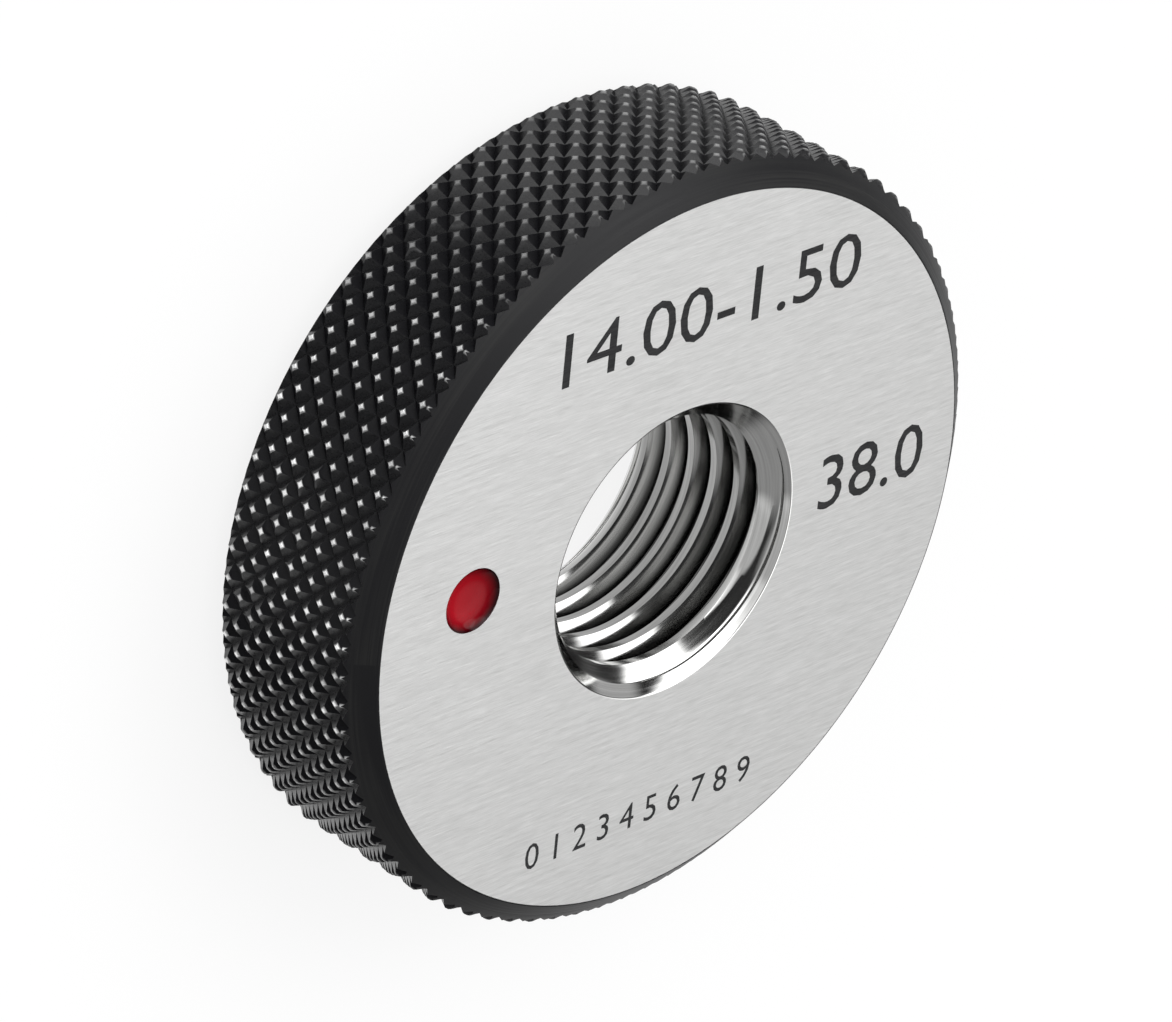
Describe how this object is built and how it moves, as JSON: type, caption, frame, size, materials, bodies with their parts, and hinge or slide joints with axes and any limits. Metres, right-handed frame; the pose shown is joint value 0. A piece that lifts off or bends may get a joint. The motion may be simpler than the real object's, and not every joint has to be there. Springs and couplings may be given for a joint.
{
  "type": "thread ring gauge",
  "caption": "Solid steel no-go thread ring gauge: a flat ring with a countersunk M14 x 1.5 threaded bore, black diamond-knurled rim with chamfered edges, ground faces and a red lacquer mark.",
  "frame": {"origin": "centre of the bore on the back face, which the ring lies on", "axes": "+Z is the axis of the bore, out of the marked face; +X is the reading direction of the marked face, with the red mark on the -X side"},
  "size_m": [0.038, 0.038, 0.01],
  "materials": {
    "ring_steel": "ground faces, polished thread",
    "black_oxide": "satin black oxide on the knurl and the rim chamfers",
    "red_lacquer": "glossy"
  },
  "bodies": {
    "root": {"ring_body": "ring_steel", "red_mark": "red_lacquer"}
  },
  "joints": []
}
